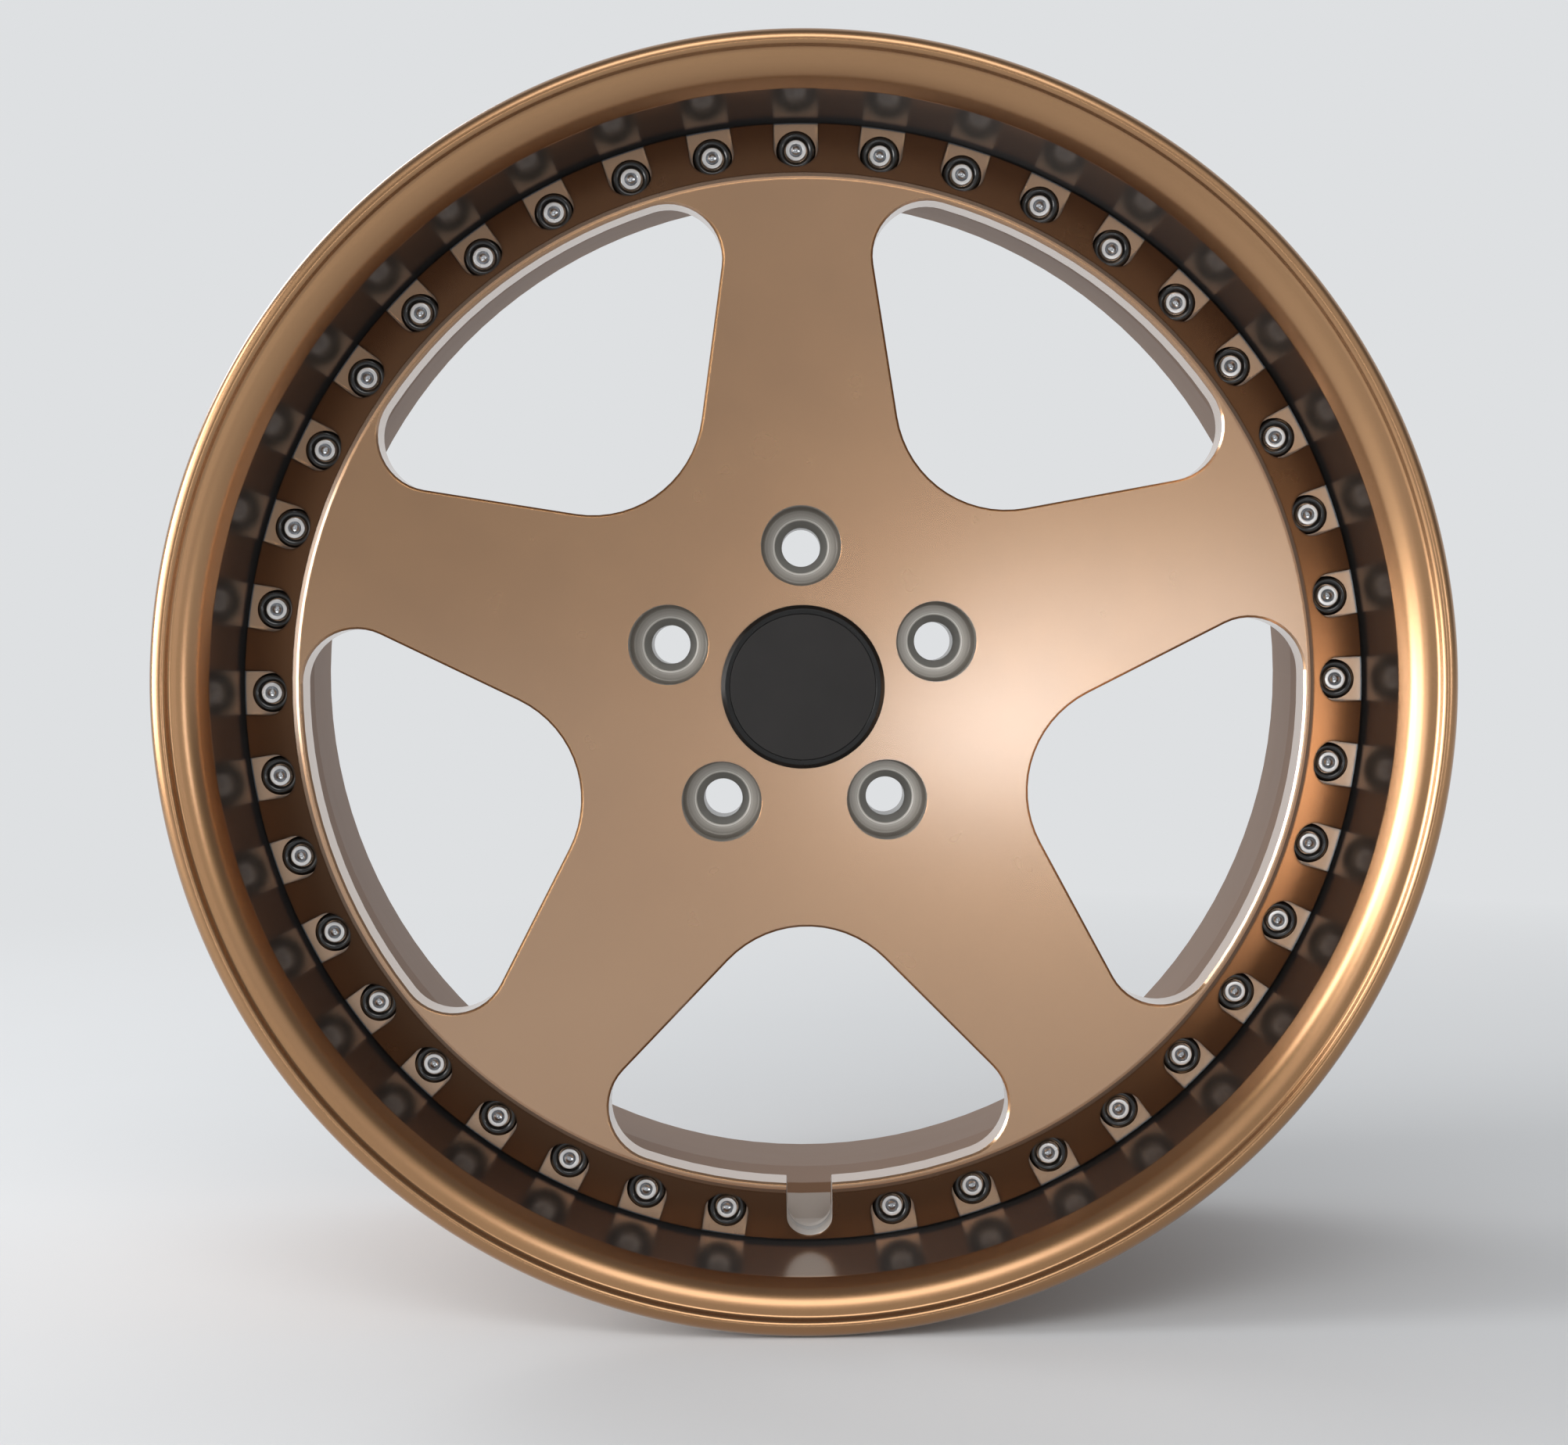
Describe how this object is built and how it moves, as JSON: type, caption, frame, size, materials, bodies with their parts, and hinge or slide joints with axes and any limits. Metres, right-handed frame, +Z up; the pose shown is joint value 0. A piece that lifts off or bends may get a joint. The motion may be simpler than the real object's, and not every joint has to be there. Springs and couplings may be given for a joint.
{
  "type": "car wheel",
  "caption": "Multi-piece forged road wheel with wide flat spokes, a deep lip, a ring of assembly bolts round the disc and a plain centre cap.",
  "frame": {"origin": "centre of the wheel: the middle of the rim's width on the spin axis", "axes": "+Y along the spin axis towards the car, so that the face looks along -Y; +Z up, with the valve slot at the bottom; +X to the right seen from the front"},
  "size_m": [0.5172, 0.2666, 0.5172],
  "materials": {
    "bronze_disc": "satin bronze coat, bare machined lug holes",
    "bronze_lip": "glossy bronze coat",
    "bronze_barrel": "dull bronze coat",
    "sealant": "matt black sealant",
    "bolt_steel": "bright steel heads in black cups",
    "nut_steel": "plain steel",
    "cap_gloss": "glossy black",
    "cap_matt": "plain satin charcoal"
  },
  "bodies": {
    "root": {"centre_disc": "bronze_disc", "outer_lip": "bronze_lip", "inner_barrel": "bronze_barrel", "seam_seal": "sealant", "assembly_bolts": "bolt_steel", "assembly_nuts": "nut_steel", "cap_body": "cap_gloss", "cap_insert": "cap_matt"}
  },
  "joints": []
}
